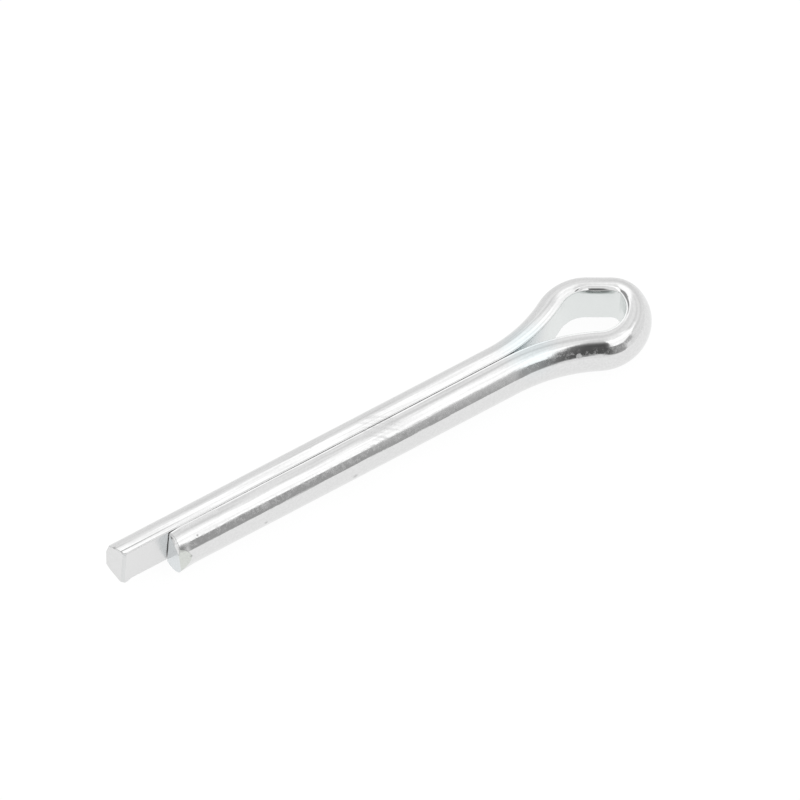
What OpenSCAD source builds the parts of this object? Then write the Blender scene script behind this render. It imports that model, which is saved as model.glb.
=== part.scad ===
// Split pin bent from one length of half-round steel wire.
// +X runs along the legs towards their tips, and the eye lies in the XY plane.
// The origin is on the shank's axis, where both legs have run out of the eye and lie closed.

/* [Wire] */
// Diameter across the round sides of the two closed legs
pin_d = 4.6; // [3.6:0.1:5.6]
// Gap between the two flat faces where the legs lie closed
seam_gap = 0.12; // [0.06:0.02:0.4]
// Width broken off the two long corners of the wire
corner_break = 0.12; // [0.06:0.01:0.3]
// How much the wire draws down all round where it is bent
draw_down = 0.01; // [0.005:0.005:0.03]

/* [Length] */
// Nominal length, from the end of the eye allowance to the end of the short leg
pin_l = 36; // [25:1:80]
// Eye allowance, from the outer end of the eye to where the nominal length starts
eye_l = 10.3; // [8:0.1:14]
// How far the long leg stands out past the short one
leg_step = 4.15; // [2:0.05:8]

/* [Eye] */
// Straight run across the end of the eye
end_run = 0.2; // [0.1:0.05:0.6]
// Straight run between a shoulder and its neck
neck_run = 0.2; // [0.1:0.05:0.6]

/* [Eye, long leg side] */
// Angle between the shank and the neck where it opens into the eye
long_spread = 28.5; // [24:0.5:34]
// Inside radius of the shoulder
long_shoulder_r = 2.55; // [1.8:0.05:3.4]
// Angle between the shank and the flank behind the shoulder
long_lean = 31; // [24:1:38]
// Straight length of that flank
long_flank = 2.25; // [1.8:0.05:3]
// Inside radius of the corner that closes the eye
long_end_r = 0.8; // [0.6:0.05:1.4]

/* [Eye, short leg side] */
// Angle between the shank and the neck where it opens into the eye
short_spread = 26.5; // [22:0.5:32]
// Inside radius of the shoulder
short_shoulder_r = 2.4; // [1.8:0.05:3.4]
// Angle between the shank and the flank behind the shoulder
short_lean = 42; // [32:1:50]
// Straight length of that flank
short_flank = 0.1; // [0.1:0.1:0.8]
// Inside radius of the bend that closes the eye
short_end_r = 2; // [1.6:0.05:2.6]

/* [Sheared ends] */
// Slant of both end faces, whose lower edge stands out
shear_slant = 5; // [0:1:12]
// Extra turn of the long leg's end face, whose round side stands out
long_end_turn = 18; // [0:1:24]
// Length of the edge rolled over by the shear on the round side of the long leg
long_side_roll_l = 0.7; // [0.4:0.05:1.2]
// Depth of that edge at the end face
long_side_roll_depth = 0.55; // [0.2:0.05:0.7]
// Size of the edge rolled over by the shear on the flat of the long leg
flat_roll = 0.12; // [0.08:0.02:0.3]
// Slope of that rolled edge to the flat
flat_roll_slope = 45; // [30:5:60]
// Length of the bevel pressed on the round side of the short leg
bevel_l = 1.1; // [0.6:0.1:2]
// Depth of that bevel at the end face
bevel_depth = 0.3; // [0.1:0.05:0.5]
// Turn of that bevel from the side of the leg up towards its crown
bevel_turn = 15; // [0:5:30]
// Length of the edge rolled over by the shear on the crown of the short leg
crown_roll_l = 0.4; // [0.2:0.05:0.8]
// Depth of that edge at the end face
crown_roll_depth = 0.8; // [0.4:0.05:1]
// Turn of that edge from the side of the leg up towards its crown
crown_roll_turn = 65; // [50:5:75]

/* [Hidden] */
$fn = 96;

pin_r = pin_d / 2;
flat_y = seam_gap / 2;
wire_t = pin_r - flat_y;

// A bend runs this far into the straight wire at each of its ends.
bend_overlap = 0.02;

// Each side of the eye is a list of its sizes, from the end of the eye to the shank.
long_side = [long_end_r, long_lean, long_flank, long_shoulder_r, long_spread];
short_side = [short_end_r, short_lean, short_flank, short_shoulder_r, short_spread];
function end_r(side) = side[0];
function lean(side) = side[1];
function flank(side) = side[2];
function shoulder_r(side) = side[3];
function spread(side) = side[4];

// Centre of the shoulder, from the inside of the eye's end
function shoulder_x(side) =
    end_r(side) * (1 - sin(lean(side))) + flank(side) * cos(lean(side))
    + shoulder_r(side) * sin(lean(side));
function shoulder_y(side) =
    end_run / 2 + (end_r(side) - shoulder_r(side)) * cos(lean(side))
    + flank(side) * sin(lean(side));

// Neck radius that brings the flat to rest on its side of the seam
function neck_r(side) =
    (shoulder_y(side) + shoulder_r(side) * cos(spread(side))
    - neck_run * sin(spread(side)) - flat_y) / (1 - cos(spread(side)));

// Distance from the inside of the eye's end to the straight leg
function reach(side) =
    shoulder_x(side) + (shoulder_r(side) + neck_r(side)) * sin(spread(side))
    + neck_run * cos(spread(side));

eye_x = -max(reach(long_side), reach(short_side));
short_tip_x = eye_x - wire_t + eye_l + pin_l;
long_tip_x = short_tip_x + leg_step;
slant_allowance = pin_r * (tan(shear_slant) + tan(long_end_turn));
cutter = 4 * pin_d;

// Half-round section, its flat facing -X on the sheet, drawn down all round by an inset
module wire_section(inset = 0) {
    corner_line = pin_r - corner_break - flat_y - inset * sqrt(2);
    difference() {
        circle(r = pin_r - inset);
        translate([flat_y + inset - pin_d, -pin_r])
            square(pin_d);
        for (up = [-1, 1])
            polygon([[0, up * corner_line], [0, up * pin_d], [pin_d - corner_line, up * pin_d]]);
    }
}

// Bend towards the flat of the wire, from the present point on the flat, and what follows it
module inner_bend(radius, turn) {
    extra = bend_overlap / radius * 180 / PI;
    translate([0, -radius, 0])
        rotate_extrude(start = 90 - turn - extra, angle = turn + 2 * extra)
            translate([radius - flat_y, 0])
                wire_section(draw_down);
    translate([radius * sin(turn), -radius * (1 - cos(turn)), 0])
        rotate([0, 0, -turn])
            children();
}

// Bend towards the round side of the wire, from the present point on the flat, and what follows it
module outer_bend(radius, turn) {
    extra = bend_overlap / radius * 180 / PI;
    translate([0, radius, 0])
        rotate_extrude(start = 270 - extra, angle = turn + 2 * extra)
            translate([radius + flat_y, 0])
                mirror([1, 0])
                    wire_section(draw_down);
    translate([radius * sin(turn), radius * (1 - cos(turn)), 0])
        rotate([0, 0, turn])
            children();
}

// Straight run along the present heading, and what follows it
module straight(length) {
    translate([0, -flat_y, 0])
        rotate([90, 0, 90])
            linear_extrude(length)
                wire_section();
    translate([length, 0, 0])
        children();
}

// One side of the eye with its leg, on the +Y side, before its end is cut
module half_pin(side, leg_end_x) {
    translate([eye_x, end_run / 2, 0])
        rotate([0, 0, 90])
            inner_bend(end_r(side), 90 - lean(side))
                straight(flank(side))
                    inner_bend(shoulder_r(side), lean(side) + spread(side))
                        straight(neck_run)
                            outer_bend(neck_r(side), spread(side))
                                straight(leg_end_x - eye_x - reach(side));
}

// Everything past a slanted end face
module shear(tip_x, turn) {
    translate([tip_x, 0, 0])
        rotate([0, -shear_slant, turn])
            translate([0, -cutter / 2, -cutter / 2])
                cube(cutter);
}

// Everything outside a bevel that narrows the round side of a leg towards its end
module bevel(tip_x, length, depth, turn) {
    rotate([turn, 0, 0])
        translate([tip_x - length, pin_r, 0])
            rotate([0, 0, -atan(depth / length)])
                translate([0, 0, -cutter / 2])
                    cube(cutter);
}

// Long leg and its side of the eye
module long_half() {
    outermost_x = long_tip_x + pin_r * tan(long_end_turn);
    mirror([0, 1, 0])
        difference() {
            half_pin(long_side, long_tip_x + slant_allowance);
            shear(long_tip_x, -long_end_turn);
            bevel(outermost_x, long_side_roll_l, long_side_roll_depth, 0);
            translate([long_tip_x - flat_roll, flat_y, 0])
                rotate([0, -shear_slant, 0])
                    rotate([0, 0, -flat_roll_slope])
                        translate([0, -cutter / 2, -cutter / 2])
                            cube(cutter);
        }
}

// Short leg and its side of the eye
module short_half() {
    difference() {
        half_pin(short_side, short_tip_x + slant_allowance);
        shear(short_tip_x, 0);
        bevel(short_tip_x, bevel_l, bevel_depth, bevel_turn);
        bevel(short_tip_x, crown_roll_l, crown_roll_depth, crown_roll_turn);
    }
}

module cotter_pin() {
    color("silver")
        union() {
            long_half();
            short_half();
            translate([eye_x, -end_run / 2, 0])
                rotate([0, 0, 90])
                    straight(end_run);
        }
}

cotter_pin();
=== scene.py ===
import math

import bmesh
import bpy
from mathutils import Matrix, Vector


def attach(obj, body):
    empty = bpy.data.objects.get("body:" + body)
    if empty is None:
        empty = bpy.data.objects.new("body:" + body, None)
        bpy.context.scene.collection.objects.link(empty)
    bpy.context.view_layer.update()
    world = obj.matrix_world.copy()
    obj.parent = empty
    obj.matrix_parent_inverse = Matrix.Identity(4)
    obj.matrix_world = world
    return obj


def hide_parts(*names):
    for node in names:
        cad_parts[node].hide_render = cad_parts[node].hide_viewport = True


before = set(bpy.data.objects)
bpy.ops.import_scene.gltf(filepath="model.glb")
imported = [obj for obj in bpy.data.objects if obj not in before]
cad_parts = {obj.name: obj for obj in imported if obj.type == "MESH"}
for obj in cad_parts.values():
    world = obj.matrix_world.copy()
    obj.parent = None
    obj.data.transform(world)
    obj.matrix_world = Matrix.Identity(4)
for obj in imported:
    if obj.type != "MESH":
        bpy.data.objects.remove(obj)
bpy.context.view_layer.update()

# ---- Split pin ----
# One length of low-carbon steel wire, drawn half-round and bent cold round two mandrels
# into a teardrop eye, so that its two flats close against each other as the legs. The bends
# are not alike: the wire leaves the end of the eye tight on one side and wide on the other.

MM = 0.001
exact = 0.0001 * MM

wire_r = 2.28 * MM
corner_r = 0.06 * MM
closed_gap = 0.03 * MM
eye_x = -12.23 * MM
long_tip_x = 35.885 * MM
short_tip_x = 31.775 * MM

# Straight runs at the end of the eye and at each neck, and what is left at each tip to be cut off
end_run = 0.2 * MM
neck_run = 0.2 * MM
tip_spare = 1 * MM

# Turns in degrees, radii and flanks in mm, on the long leg's side of the eye and on the short leg's
LONG_SPREAD, LONG_SHOULDER_R, LONG_LEAN, LONG_FLANK, LONG_END_R = 28.5, 2.55, 31.0, 2.12, 0.8
SHORT_SPREAD, SHORT_SHOULDER_R, SHORT_LEAN, SHORT_FLANK, SHORT_END_R = 26.5, 2.4, 42.0, 0.1, 1.92

# The short leg leans on the long one along its length, and its tip stands off a little
short_pinch_from, short_pinch_r, short_pinch = 16 * MM, 400 * MM, 0.16
short_splay_from, short_splay_r, short_splay = 30.3 * MM, 6 * MM, 5.5


def linear(code):
    """Linear RGBA of an sRGB hex colour."""
    parts = [int(code[i:i + 2], 16) / 255 for i in (1, 3, 5)]
    return (*[c / 12.92 if c <= 0.04045 else ((c + 0.055) / 1.055) ** 2.4 for c in parts], 1)


def add_node(tree, kind, settings=None, links=None):
    """Adds a node, sets it, and joins each input named to a socket or gives it a value."""
    node = tree.nodes.new(kind)
    for name, value in (settings or {}).items():
        setattr(node, name, value)
    for name, value in (links or {}).items():
        if isinstance(value, bpy.types.NodeSocket):
            tree.links.new(value, node.inputs[name])
        else:
            node.inputs[name].default_value = value
    return node


# Bright zinc plating with a clear passivate, barrel plated: an almost white metal that
# mirrors sharply on the drawn round side and more softly on the flats. Its crystals and
# the lines left by the die are too fine to show, so both are drawn 0.2 mm wide.
grain_size = 0.2 * MM
line_length, line_width = 6 * MM, 0.2 * MM
flat_roughness, round_roughness = 0.27, 0.04
zinc = bpy.data.materials.new("bright_zinc_plating")
zinc.use_nodes = True
tree = zinc.node_tree
shader = tree.nodes["Principled BSDF"]
where = add_node(tree, "ShaderNodeTexCoord").outputs["Object"]
drawn = add_node(tree, "ShaderNodeAttribute", {"attribute_name": "drawing"}).outputs["Vector"]
on_wire = add_node(tree, "ShaderNodeSeparateXYZ", None, {0: drawn}).outputs
along_wire, round_wire, off_flat = on_wire["X"], on_wire["Y"], on_wire["Z"]
stretched = add_node(tree, "ShaderNodeVectorMath", {"operation": "MULTIPLY"},
    {0: drawn, 1: (1 / line_length, 1 / line_width, 1)}).outputs["Vector"]
lines = add_node(tree, "ShaderNodeTexNoise", None,
    {"Vector": stretched, "Scale": 1, "Detail": 2}).outputs["Fac"]
grain = add_node(tree, "ShaderNodeTexNoise", None,
    {"Vector": where, "Scale": 1 / grain_size, "Detail": 1}).outputs["Fac"]
round_side = add_node(tree, "ShaderNodeMapRange", None,
    {"Value": off_flat, "From Min": 0.03 * MM, "From Max": 0.12 * MM}).outputs["Result"]
polish = add_node(tree, "ShaderNodeMapRange", None,
    {"Value": round_side, "To Min": flat_roughness, "To Max": round_roughness}).outputs["Result"]

# Rubbing in the barrel has frosted a strip below the crown in blotches of about 0.4 mm
blotch_size, most_frosted = 0.42 * MM, 0.3
below_crown = add_node(tree, "ShaderNodeMapRange", None, {"Value": round_wire,
    "From Min": 1.2 * MM, "From Max": 1.7 * MM, "To Max": most_frosted}).outputs["Result"]
above_side = add_node(tree, "ShaderNodeMapRange", None,
    {"Value": round_wire, "From Min": 2.3 * MM, "From Max": 1.95 * MM}).outputs["Result"]
strip = add_node(tree, "ShaderNodeMath", {"operation": "MULTIPLY"},
    {0: below_crown, 1: above_side}).outputs[0]
blotches = add_node(tree, "ShaderNodeTexNoise", None,
    {"Vector": where, "Scale": 1 / blotch_size, "Detail": 4, "Roughness": 0.75}).outputs["Fac"]
frosting = add_node(tree, "ShaderNodeMapRange", None,
    {"Value": blotches, "From Min": 0.44, "From Max": 0.6, "To Max": strip}).outputs["Result"]
roughness = add_node(tree, "ShaderNodeMath", {"operation": "MULTIPLY_ADD"},
    {0: frosting, 1: round_side, 2: polish}).outputs[0]

# A scuff across the crowns of both legs, 10 to 13 mm along: fine scratches at a slant
scratch_size, scratch_turn = (2 * MM, 0.25 * MM, MM), math.radians(-31)
scuff_roughness, scuff_dark = 0.12, 0.07
crown = add_node(tree, "ShaderNodeMapRange", None,
    {"Value": round_wire, "From Min": 1.7 * MM, "From Max": 1.3 * MM}).outputs["Result"]
slanting = add_node(tree, "ShaderNodeMapping", {"vector_type": "TEXTURE"},
    {"Vector": where, "Rotation": (0, 0, scratch_turn), "Scale": scratch_size}).outputs[0]
scratches = add_node(tree, "ShaderNodeTexNoise", None,
    {"Vector": slanting, "Scale": 1, "Detail": 1}).outputs["Fac"]
scuff = add_node(tree, "ShaderNodeMapRange", None,
    {"Value": scratches, "From Min": 0.5, "From Max": 0.6}).outputs["Result"]
along_pin = add_node(tree, "ShaderNodeSeparateXYZ", None, {0: where}).outputs["X"]
for scuff_from, scuff_to in ((9.6, 10.4), (13.6, 12.8)):
    window = add_node(tree, "ShaderNodeMapRange", None, {"Value": along_pin,
        "From Min": scuff_from * MM, "From Max": scuff_to * MM}).outputs["Result"]
    scuff = add_node(tree, "ShaderNodeMath", {"operation": "MULTIPLY"}, {0: scuff, 1: window}).outputs[0]
scuff = add_node(tree, "ShaderNodeMath", {"operation": "MULTIPLY"}, {0: scuff, 1: crown}).outputs[0]
roughness = add_node(tree, "ShaderNodeMath", {"operation": "MULTIPLY_ADD"},
    {0: scuff, 1: scuff_roughness, 2: roughness}).outputs[0]

# A line scored along the crown of the long leg by the die, fading out 12 mm from the tip
score_at, score_half, score_fades, score_dark = 0.47 * MM, 0.1 * MM, 12 * MM, 0.5
off_line = add_node(tree, "ShaderNodeMath", {"operation": "SUBTRACT"},
    {0: round_wire, 1: score_at}).outputs[0]
off_line = add_node(tree, "ShaderNodeMath", {"operation": "ABSOLUTE"}, {0: off_line}).outputs[0]
score = add_node(tree, "ShaderNodeMapRange", {"interpolation_type": "SMOOTHSTEP"},
    {"Value": off_line, "From Min": score_half, "From Max": 0}).outputs["Result"]
fading = add_node(tree, "ShaderNodeMapRange", None, {"Value": along_wire,
    "From Min": score_fades, "From Max": tip_spare, "To Max": score_dark}).outputs["Result"]
score = add_node(tree, "ShaderNodeMath", {"operation": "MULTIPLY"}, {0: score, 1: fading}).outputs[0]

# The colour lies half way between two greys. On the round side the grain darkens it in
# spots, and on the crown the lines of the drawing make it darker and paler in streaks.
half_way, spot_tone, dark_streak, pale_streak = 0.5, -0.35, -0.6, 0.5
spots = add_node(tree, "ShaderNodeMapRange", None,
    {"Value": grain, "From Min": 0.35, "From Max": 0.65}).outputs["Result"]
spots = add_node(tree, "ShaderNodeMath", {"operation": "MULTIPLY"}, {0: spots, 1: round_side}).outputs[0]
round_crown = add_node(tree, "ShaderNodeMath", {"operation": "MULTIPLY"},
    {0: crown, 1: round_side}).outputs[0]
streaks = add_node(tree, "ShaderNodeMapRange", None, {"Value": lines,
    "From Min": 0.36, "From Max": 0.6, "To Min": dark_streak, "To Max": pale_streak}).outputs["Result"]
tone = add_node(tree, "ShaderNodeMath", {"operation": "MULTIPLY_ADD"},
    {0: streaks, 1: round_crown, 2: half_way}).outputs[0]
tone = add_node(tree, "ShaderNodeMath", {"operation": "MULTIPLY_ADD"},
    {0: spots, 1: spot_tone, 2: tone}).outputs[0]
colour = add_node(tree, "ShaderNodeMix", {"data_type": "RGBA", "clamp_factor": False},
    {"Factor": tone, "A": linear("#DADADA"), "B": linear("#E9E9E9")}).outputs[2]


def share_near(spot, none_from, full_from, most):
    """A share that grows from nothing to the most towards a spot on the pin, with its sizes in mm."""
    distance = add_node(tree, "ShaderNodeVectorMath", {"operation": "DISTANCE"},
        {0: where, 1: Vector(spot) * MM}).outputs["Value"]
    return add_node(tree, "ShaderNodeMapRange", {"interpolation_type": "SMOOTHSTEP"}, {"Value": distance,
        "From Min": none_from * MM, "From Max": full_from * MM, "To Max": most}).outputs["Result"]


# The clear passivate is a little bluer on the inside of the eye, and bluest where the legs close
flat_side = add_node(tree, "ShaderNodeMath", {"operation": "SUBTRACT"}, {0: 1, 1: round_side}).outputs[0]
inside_eye = share_near((-10.3, 0, 0), 6, 4.5, flat_side)
colour = add_node(tree, "ShaderNodeMix", {"data_type": "RGBA"},
    {"Factor": inside_eye, "A": colour, "B": linear("#E5E8E7")}).outputs[2]
where_closed = share_near((-2.9, 0, 1.7), 3.2, 0.8, 1)
colour = add_node(tree, "ShaderNodeMix", {"data_type": "RGBA", "blend_type": "MULTIPLY"},
    {"Factor": where_closed, "A": colour, "B": linear("#F6FDFF")}).outputs[2]

# Knocks from barrel plating, and, as the last six, dark spots near the tips that are painted shade
# on small creases and pits at the sheared ends: where each is in mm, how far it reaches, and how dark it is
knocks_and_painted_shade = [
    ((-2.85, 1.86, 1.54), 0.16, 0.3), ((29.59, 1.26, 1.92), 0.16, 0.35), ((30.71, 2.15, 0.75), 0.2, 0.35),
    ((15.21, 2.31, 0.03), 0.35, 0.3), ((23.75, 2.31, 0.05), 0.25, 0.35), ((17.6, -0.9, 2.1), 0.12, 0.2),
    ((31.55, 0.42, 1.94), 0.22, 0.65), ((31.2, 1.6, 1.7), 0.52, 0.5), ((36.02, -1.2, 1.95), 0.24, 0.45),
    ((35.76, -0.32, 2.2), 0.16, 0.3),
]
dark = add_node(tree, "ShaderNodeMath", {"operation": "MULTIPLY_ADD"},
    {0: scuff, 1: scuff_dark, 2: score}).outputs[0]
for mark_at, reach, depth in knocks_and_painted_shade:
    dark_mark = share_near(mark_at, reach, 0, depth)
    dark = add_node(tree, "ShaderNodeMath", {"operation": "MAXIMUM"}, {0: dark, 1: dark_mark}).outputs[0]
colour = add_node(tree, "ShaderNodeMix", {"data_type": "RGBA"},
    {"Factor": dark, "A": colour, "B": linear("#2E3030")}).outputs[2]
roughness = add_node(tree, "ShaderNodeMath", {"operation": "ADD"}, {0: roughness, 1: dark}).outputs[0]

# One more knock, on the near shoulder, has only frosted the plating
frosted_knock = share_near((-6.28, 2.74, 1.47), 0.31, 0.1, 0.8)
roughness = add_node(tree, "ShaderNodeMath", {"operation": "ADD"},
    {0: roughness, 1: frosted_knock}).outputs[0]
tree.links.new(colour, shader.inputs["Base Color"])
tree.links.new(roughness, shader.inputs["Roughness"])
shader.inputs["Metallic"].default_value = 1

# The lines of the drawing and, at a third of their height, the grain stand out on the round side
line_height, grain_share = 0.0045 * MM, 0.3
relief = add_node(tree, "ShaderNodeMath", {"operation": "MULTIPLY_ADD"},
    {0: grain, 1: grain_share, 2: lines}).outputs[0]
relief = add_node(tree, "ShaderNodeMath", {"operation": "MULTIPLY"}, {0: relief, 1: round_side}).outputs[0]
bump = add_node(tree, "ShaderNodeBump", None, {"Strength": 1, "Distance": line_height, "Height": relief})
tree.links.new(bump.outputs["Normal"], shader.inputs["Normal"])

# The shear and the press have burnished the steel under the plating, which is evenly smooth
# there. The upper edges of both ends are painted dark, a painted reflection of the dark room on
# their rounding; the short leg's pressed bevel is straw-tinted, its end blue, and the long leg's
# rolled edge and end are only a shade darker.
burnished_roughness = 0.2
finishes = [zinc]
for name, tint in (
        ("painted_dark_edge_zinc", "#4E5051"), ("rolled_zinc", "#F8F9F9"), ("straw_pressed_zinc", "#F3F6F1"),
        ("blue_sheared_zinc", "#F8FDFF"), ("sheared_zinc", "#FDFDFD")):
    finish = zinc.copy()
    finish.name = name
    tree = finish.node_tree
    shader = tree.nodes["Principled BSDF"]
    plain = shader.inputs["Base Color"].links[0].from_socket
    tinted = add_node(tree, "ShaderNodeMix", {"data_type": "RGBA", "blend_type": "MULTIPLY"},
        {"Factor": 1, "A": plain, "B": linear(tint)}).outputs[2]
    tree.links.new(tinted, shader.inputs["Base Color"])
    tree.links.remove(shader.inputs["Roughness"].links[0])
    shader.inputs["Roughness"].default_value = burnished_roughness
    finishes.append(finish)


def neck(spread, shoulder_r, lean, flank, end_r):
    """The neck's radius and the reach from the end of the eye to the straight leg, in mm."""
    spread, lean = math.radians(spread), math.radians(lean)
    x = end_r * (1 - math.sin(lean)) + flank * math.cos(lean) + shoulder_r * math.sin(lean)
    y = end_run / 2 / MM + (end_r - shoulder_r) * math.cos(lean) + flank * math.sin(lean)
    rise = y + shoulder_r * math.cos(spread) - neck_run / MM * math.sin(spread) - closed_gap / 2 / MM
    neck_r = rise / (1 - math.cos(spread))
    return neck_r, x + (shoulder_r + neck_r) * math.sin(spread) + neck_run / MM * math.cos(spread)


long_neck_r, long_reach = neck(LONG_SPREAD, LONG_SHOULDER_R, LONG_LEAN, LONG_FLANK, LONG_END_R)
short_neck_r = neck(SHORT_SPREAD, SHORT_SHOULDER_R, SHORT_LEAN, SHORT_FLANK, SHORT_END_R)[0]


def in_edit(piece, test, kind="verts"):
    """Selects the vertices, edges or faces of the piece in edit mode that pass the test."""
    bpy.ops.mesh.select_mode(type={"verts": "VERT", "edges": "EDGE", "faces": "FACE"}[kind])
    bpy.ops.mesh.select_all(action="DESELECT")
    mesh = bmesh.from_edit_mesh(piece.data)
    for item in getattr(mesh, kind):
        if test(item):
            item.select_set(True)
    mesh.select_flush_mode()
    bmesh.update_edit_mesh(piece.data)


# The section is a disc cut in half, with its two corners rounded and its flat divided finely
disc_steps, corner_steps, flat_cuts = 72, 3, 25
bpy.ops.object.select_all(action="DESELECT")
bpy.ops.mesh.primitive_circle_add(
    vertices=disc_steps, radius=wire_r, fill_type="NGON",
    location=(long_tip_x + tip_spare, -closed_gap / 2, 0), rotation=(0, math.pi / 2, 0))
pin = bpy.context.object
pin.name = "pin_wire"
for finish in finishes:
    pin.data.materials.append(finish)
bpy.ops.object.transform_apply(location=True, rotation=True, scale=True)
bpy.ops.object.mode_set(mode="EDIT")
bpy.ops.mesh.select_all(action="SELECT")
bpy.ops.mesh.bisect(
    plane_co=(0, -closed_gap / 2, 0), plane_no=(0, 1, 0),
    clear_outer=True, use_fill=True, threshold=exact)
in_edit(pin, lambda v: abs(v.co.y + closed_gap / 2) < exact)
bpy.ops.mesh.bevel(offset=corner_r, offset_type="OFFSET", segments=corner_steps, affect="VERTICES")
in_edit(pin, lambda e: e.calc_length() > wire_r, "edges")
bpy.ops.mesh.subdivide(number_cuts=flat_cuts)
bpy.ops.mesh.select_mode(type="VERT")
bpy.ops.mesh.select_all(action="SELECT")
bpy.ops.mesh.delete(type="ONLY_FACE")
bpy.ops.mesh.select_all(action="SELECT")

# The path of the flat's middle line, one entry for each run and bend: the point where it starts
# or the centre it turns about, its heading, its length, the wire drawn before it, and its radius
path = []
here, heading, travelled = Vector((long_tip_x + tip_spare, -closed_gap / 2, 0)), math.pi, 0.0

# Rings lie closer at the tips, and in an inward bend they are spaced where the wire is widest
ring_pitch, tip_pitch = 0.25 * MM, 0.08 * MM
tip_run, widest = 2.4 * MM, 2 * MM


def run(length, pitch=ring_pitch):
    """Draws the selected section straight on along the present heading."""
    global here, travelled
    steps = max(1, round(length / pitch))
    step = Vector((math.cos(heading), math.sin(heading), 0)) * length / steps
    path.append((here.copy(), heading, length, travelled, 0))
    bpy.ops.mesh.extrude_repeat(steps=steps, offset=step)
    here, travelled = here + step * steps, travelled + length


def bend(radius, turn, inwards=True, pitch=ring_pitch):
    """Bends the wire on from the selected section, inwards, to the right of the heading, or outwards."""
    global here, heading, travelled
    hand = -1 if inwards else 1
    angle = math.radians(turn)
    centre = here + Vector((-math.sin(heading), math.cos(heading), 0)) * hand * radius
    steps = max(1, round(angle * (radius + (widest if inwards else 0)) / pitch))
    path.append((centre, heading, radius * angle, travelled, hand * radius))
    bpy.ops.mesh.spin(steps=steps, angle=-hand * angle, center=centre, axis=(0, 0, 1))
    here = centre + Matrix.Rotation(hand * angle, 3, "Z") @ (here - centre)
    heading, travelled = heading + hand * angle, travelled + radius * angle


run(tip_run, tip_pitch)
run(here.x - eye_x - long_reach * MM)
bend(long_neck_r * MM, LONG_SPREAD, inwards=False)
run(neck_run)
bend(LONG_SHOULDER_R * MM, LONG_SPREAD + LONG_LEAN)
run(LONG_FLANK * MM)
bend(LONG_END_R * MM, 90 - LONG_LEAN)
run(end_run)
bend(SHORT_END_R * MM, 90 - SHORT_LEAN)
run(SHORT_FLANK * MM)
bend(SHORT_SHOULDER_R * MM, SHORT_SPREAD + SHORT_LEAN)
run(neck_run)
bend(short_neck_r * MM, SHORT_SPREAD, inwards=False)
run(short_pinch_from - here.x)
bend(short_pinch_r, short_pinch)
run(short_splay_from - here.x)
bend(short_splay_r, short_splay, inwards=False, pitch=tip_pitch)
run(short_tip_x + tip_spare - here.x, tip_pitch)

# A point this far behind a flat belongs to another run, and a miss of 1 m rules this one out
behind_flat, ruled_out = 0.3 * MM, 1


def place_on_wire(point):
    """How far a point lies along the wire, round from its upper corner, and off its flat."""
    least = math.inf
    for start, facing, length, before, radius in path:
        local = Matrix.Rotation(-facing, 3, "Z") @ (point - start)
        along, away = local.x, local.y
        if radius != 0:
            hand = math.copysign(1, radius)
            along = abs(radius) * math.atan2(local.x, -hand * local.y)
            away = hand * (abs(radius) - math.hypot(local.x, local.y))
        miss = max(0, -along, along - length) + abs(away) + (ruled_out if away < -behind_flat else 0)
        if miss < least:
            least = miss
            place = (before + along, wire_r * math.atan2(away, point.z), away)
    return place


# Each end is sheared off at a slant. The shear rolls over the edges where it enters, and the
# short leg has a bevel pressed on it. Each cut is the point it passes and the direction it
# faces, on a leg at positive Y: the long leg, at negative Y, takes its cuts mirrored.
LONG, SHORT = -1, 1
slant = math.radians(6)
long_turn = math.radians(18)
flat_roll = 0.12 * MM
end_zone = 2 * MM


def bevel_plane(tip_x, length, depth, turn):
    """A bevel that narrows the round side towards the end, turned up from its side to its crown."""
    up = math.radians(turn)
    slope = math.atan(depth / length)
    point = Vector((tip_x - length, wire_r * math.cos(up), wire_r * math.sin(up)))
    facing = Vector((math.sin(slope), math.cos(slope) * math.cos(up), math.cos(slope) * math.sin(up)))
    return point, facing


def on_leg(vector, leg):
    """The vector as it is on the short leg, or mirrored as it is on the long one."""
    return Vector((vector.x, leg * vector.y, vector.z))


long_corner_x = long_tip_x + wire_r * math.tan(long_turn)
long_shear = (Vector((long_tip_x, 0, 0)), Vector((
    math.cos(long_turn) * math.cos(slant), -math.sin(long_turn) * math.cos(slant), math.sin(slant))))
long_side_roll = bevel_plane(long_corner_x, length=0.7 * MM, depth=0.45 * MM, turn=0)
long_flat_roll = (Vector((long_tip_x - flat_roll, 0.06 * MM, 0)),
    Vector((math.cos(slant), -1, math.sin(slant))))
long_upper_roll = bevel_plane(long_corner_x, length=0.55 * MM, depth=0.45 * MM, turn=20)
short_shear = (Vector((short_tip_x, 0, 0)), Vector((math.cos(slant), 0, math.sin(slant))))
short_bevel = bevel_plane(short_tip_x, length=1.1 * MM, depth=0.3 * MM, turn=21)
short_crown_roll = bevel_plane(short_tip_x, length=0.4 * MM, depth=0.8 * MM, turn=65)
for leg, tip_x, cuts in (
        (LONG, long_tip_x, (long_shear, long_side_roll, long_flat_roll, long_upper_roll)),
        (SHORT, short_tip_x, (short_shear, short_bevel, short_crown_roll))):
    for point, facing in cuts:
        in_edit(pin, lambda v: leg * v.co.y > 0 and v.co.x > tip_x - end_zone)
        bpy.ops.mesh.bisect(plane_co=on_leg(point, leg), plane_no=on_leg(facing, leg),
            clear_outer=True, use_fill=True, threshold=exact)
bpy.ops.mesh.select_all(action="SELECT")
bpy.ops.mesh.remove_doubles(threshold=0.02 * MM)
bpy.ops.mesh.normals_make_consistent(inside=False)

# The mandrel has crushed the wire's upper corner on the far side of the eye, most in the
# middle: one push over each of four ever shorter spans, from X to X in mm, and a smoothing.
corner_span = (-12.3, -9.2)
push_spans = ((-12.1, -9.3), (-11.9, -9.6), (-11.7, -9.9), (-11.4, -10.15))
push = (-0.018 * MM, -0.031 * MM, -0.048 * MM)


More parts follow.
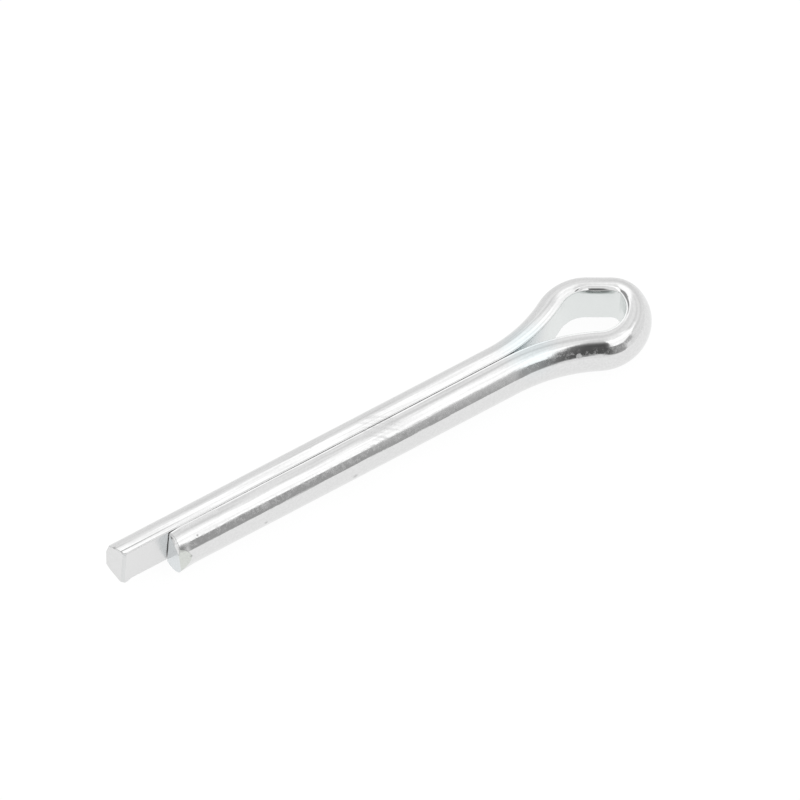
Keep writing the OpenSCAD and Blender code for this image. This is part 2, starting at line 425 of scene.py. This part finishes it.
def near_corner(vertex, reach):
    """Whether a vertex lies this near the upper inner corner on the far side of the eye, in mm."""
    x, y, z = vertex.co / MM
    return (corner_span[0] < x < corner_span[1] and y < -0.7 and z > wire_r / MM - reach
        and place_on_wire(vertex.co)[2] < reach * MM)


in_edit(pin, lambda v: near_corner(v, 0.65))
bpy.ops.mesh.subdivide(number_cuts=1)
in_edit(pin, lambda v: near_corner(v, 0.08))
mesh = bmesh.from_edit_mesh(pin.data)
mesh.verts.index_update()
corner = {v.index for v in mesh.verts if v.select}
for low_x, high_x in push_spans:
    in_edit(pin, lambda v: v.index in corner and low_x < v.co.x / MM < high_x)
    bpy.ops.transform.translate(value=push, use_proportional_edit=True,
        proportional_edit_falloff="LINEAR", proportional_size=0.33 * MM, use_proportional_connected=True)
in_edit(pin, lambda v: near_corner(v, 0.5))
bpy.ops.mesh.vertices_smooth(factor=0.5, repeat=8)

# Bending has left the wire a little fuller on the outside of the near shoulder
fullest = Vector((-10.6, 3.68, 1.75)) * MM
in_edit(pin, lambda v: (v.co - fullest).length < 0.25 * MM)
bpy.ops.transform.translate(value=(-0.01 * MM, 0.04 * MM, 0.05 * MM), use_proportional_edit=True,
    proportional_edit_falloff="SMOOTH", proportional_size=1.4 * MM, use_proportional_connected=True)

# The shear has left a small burr at the lower end of the long leg's flat
in_edit(pin, lambda v: v.co.z < -1.95 * MM and abs(v.co.y) < 0.35 * MM and v.co.x > long_tip_x - 0.2 * MM)
bpy.ops.transform.translate(value=(0.03 * MM, 0.12 * MM, 0), use_proportional_edit=True,
    proportional_edit_falloff="SMOOTH", proportional_size=0.5 * MM, use_proportional_connected=True)

# The plating rounds the sheared edges a little, and the upper ones carry a painted dark reflection
edge_r = 0.08 * MM
sharp_from = math.radians(14)
dark_edge_from = 0.7 * MM
dark_edge = pin.data.materials.find("painted_dark_edge_zinc")
in_edit(pin, lambda e: len(e.link_faces) == 2 and e.verts[0].co.x > short_tip_x - end_zone
    and e.calc_face_angle() > sharp_from and max(len(f.verts) for f in e.link_faces) > 4, "edges")
bpy.ops.mesh.bevel(offset=edge_r, segments=2, affect="EDGES", clamp_overlap=True, material=dark_edge)
in_edit(pin, lambda f: f.material_index == dark_edge
    and (f.calc_center_median().z < dark_edge_from or f.normal.z < 0.15), "faces")
pin.active_material_index = pin.data.materials.find(zinc.name)
bpy.ops.object.material_slot_assign()

# Each of the other finishes goes on the faces that lie in its cut
in_cut, alike = 0.1 * MM, 0.98
for name, leg, (point, facing) in (
        ("rolled_zinc", LONG, long_flat_roll), ("straw_pressed_zinc", SHORT, short_bevel),
        ("blue_sheared_zinc", SHORT, short_shear), ("sheared_zinc", LONG, long_shear)):
    cut_at, cut_facing = on_leg(point, leg), on_leg(facing, leg).normalized()
    in_edit(pin, lambda f: f.normal.dot(cut_facing) > alike
        and abs((f.calc_center_median() - cut_at).dot(cut_facing)) < in_cut
        and f.calc_center_median().x > short_tip_x - end_zone
        and leg * f.calc_center_median().y > -0.05 * MM, "faces")
    pin.active_material_index = pin.data.materials.find(name)
    bpy.ops.object.material_slot_assign()
bpy.ops.object.mode_set(mode="OBJECT")

# Drawing and bending leave the surface very slightly uneven
waves = bpy.data.textures.new("drawing_waves", "CLOUDS")
waves.noise_scale = 2.2 * MM
uneven = pin.modifiers.new("uneven_surface", "DISPLACE")
uneven.texture = waves
uneven.texture_coords = "LOCAL"
uneven.mid_level = 0.5
uneven.strength = 0.02 * MM
bpy.ops.object.modifier_apply(modifier=uneven.name)
bpy.ops.object.shade_smooth_by_angle(angle=math.radians(35))
weigh = pin.modifiers.new("weighted_normals", "WEIGHTED_NORMAL")
weigh.keep_sharp = True
bpy.ops.object.modifier_apply(modifier=weigh.name)

# Each point's place on the wire is kept for the marks that follow its drawing
drawing = pin.data.attributes.new("drawing", "FLOAT_VECTOR", "POINT")
for kept, vertex in zip(drawing.data, pin.data.vertices):
    kept.vector = place_on_wire(vertex.co)

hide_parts("cotter_pin")
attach(pin, "root")

# ---- Studio ----
# A white table in a room that is dark behind the camera, with a soft box over the near
# side of the pin and another low behind it.

floor_size = 8
table_z = -2.29 * MM
bpy.ops.object.select_all(action="DESELECT")
bpy.ops.mesh.primitive_plane_add(size=floor_size, location=(0, 0, table_z))
floor = bpy.context.object
floor.name = "floor"

# Matt white paper, which takes the pin's shadow. It glows where it is seen, by itself or in
# the metal, and its image in the metal is a little darker on the far side of the pin.
glow_part = 0.9
far_y, near_y = -9 * MM, -2 * MM
far_level, white_level = 0.9, 1.04
paper = bpy.data.materials.new("white_paper")
paper.use_nodes = True
tree = paper.node_tree
tree.nodes.clear()
ray = add_node(tree, "ShaderNodeLightPath").outputs
seen = add_node(tree, "ShaderNodeMath", {"operation": "ADD", "use_clamp": True},
    {0: ray["Is Camera Ray"], 1: ray["Is Glossy Ray"]}).outputs[0]
seen = add_node(tree, "ShaderNodeMath", {"operation": "ADD", "use_clamp": True},
    {0: seen, 1: ray["Is Transmission Ray"]}).outputs[0]
glow_share = add_node(tree, "ShaderNodeMath", {"operation": "MULTIPLY"}, {0: seen, 1: glow_part}).outputs[0]
on_floor = add_node(tree, "ShaderNodeTexCoord").outputs["Object"]
across = add_node(tree, "ShaderNodeSeparateXYZ", None, {0: on_floor}).outputs["Y"]
in_metal = add_node(tree, "ShaderNodeMapRange", None, {"Value": across,
    "From Min": far_y, "From Max": near_y, "To Min": far_level, "To Max": white_level}).outputs["Result"]
by_itself = add_node(tree, "ShaderNodeMath", {"operation": "MULTIPLY"},
    {0: ray["Is Camera Ray"], 1: white_level}).outputs[0]
strength = add_node(tree, "ShaderNodeMath", {"operation": "MAXIMUM"},
    {0: in_metal, 1: by_itself}).outputs[0]
matt = add_node(tree, "ShaderNodeBsdfDiffuse", None, {"Color": linear("#FFFFFF")}).outputs[0]
glow = add_node(tree, "ShaderNodeEmission", None,
    {"Color": linear("#FFFFFF"), "Strength": strength}).outputs[0]
sheet = add_node(tree, "ShaderNodeMixShader", None, {0: glow_share, 1: matt, 2: glow}).outputs[0]
add_node(tree, "ShaderNodeOutputMaterial", None, {"Surface": sheet})
floor.data.materials.append(paper)

# The room is pale all round. Each patch of it has a level of light and its edges: an edge is
# at an azimuth, at a height or at a slant of the two, in degrees, rises one way or the other,
# and falls off softly over so many degrees.
room_level = 0.935
slant_share = 0.55
world = bpy.data.worlds.new("studio")
bpy.context.scene.world = world
world.use_nodes = True
tree = world.node_tree
tree.nodes.clear()
direction = add_node(tree, "ShaderNodeTexCoord").outputs["Generated"]
parts = add_node(tree, "ShaderNodeSeparateXYZ", None, {0: direction}).outputs
around = add_node(tree, "ShaderNodeMath", {"operation": "ARCTAN2"},
    {0: parts["Y"], 1: parts["X"]}).outputs[0]
height = add_node(tree, "ShaderNodeMath", {"operation": "ARCSINE"}, {0: parts["Z"]}).outputs[0]
leaning = add_node(tree, "ShaderNodeMath", {"operation": "MULTIPLY_ADD"},
    {0: around, 1: slant_share, 2: height}).outputs[0]
light = room_level
for level, edges in (
        (0.41, ((around, 20, 1, 10), (around, 108, -1, 10), (leaning, 55.5, 1, 8), (height, 68, -1, 16))),
        (0.1, ((around, 20, 1, 10), (around, 90, -1, 26), (leaning, 55.5, 1, 8), (height, 64, -1, 22))),
        (1.36, ((around, 91, 1, 8), (around, 162, -1, 12), (height, 37, 1, 4), (height, 71, -1, 16))),
        (0.5, ((around, 110, 1, 7), (around, 140, -1, 14), (height, 22, 1, 8), (height, 41, -1, 5))),
        (1.33, ((around, -155, 1, 8), (around, -97, -1, 14), (height, 16, 1, 17), (height, 63, -1, 6))),
        (1.0, ((around, -131, 1, 6), (around, -116, -1, 6), (height, 20, 1, 6), (height, 46, -1, 6))),
        (0.35, ((around, -147, 1, 4), (around, -130, -1, 4), (height, 42, 1, 6), (height, 60, -1, 6)))):
    patch = 1
    for value, at, rising, soft in edges:
        half = rising * soft / 2
        ramp = add_node(tree, "ShaderNodeMapRange", {"interpolation_type": "SMOOTHSTEP"}, {"Value": value,
            "From Min": math.radians(at - half), "From Max": math.radians(at + half)}).outputs["Result"]
        patch = add_node(tree, "ShaderNodeMath", {"operation": "MULTIPLY"}, {0: patch, 1: ramp}).outputs[0]
    light = add_node(tree, "ShaderNodeMix", {"data_type": "FLOAT"},
        {0: patch, 2: light, 3: level}).outputs[0]
ray = add_node(tree, "ShaderNodeLightPath").outputs
light = add_node(tree, "ShaderNodeMix", {"data_type": "FLOAT"},
    {0: ray["Is Camera Ray"], 2: light, 3: 1}).outputs[0]
room = add_node(tree, "ShaderNodeBackground", None,
    {"Color": linear("#FFFFFF"), "Strength": light}).outputs[0]
add_node(tree, "ShaderNodeOutputWorld", None, {"Surface": room})

# A long lens about 0.37 m off, looking down on the pin from beyond the short leg's tip
looking_down, looking_round = 61.340, 149.282
lens = bpy.data.cameras.new("camera")
camera = bpy.data.objects.new("camera", lens)
bpy.context.scene.collection.objects.link(camera)
camera.location = (98.249 * MM, 149.293 * MM, 322.011 * MM)
camera.rotation_euler = (math.radians(90 - looking_down), 0, math.radians(looking_round))
lens.sensor_width = 36
lens.lens = 197.09
lens.clip_start, lens.clip_end = 0.01, 20
bpy.context.scene.camera = camera
bpy.context.scene.view_settings.view_transform = "Standard"
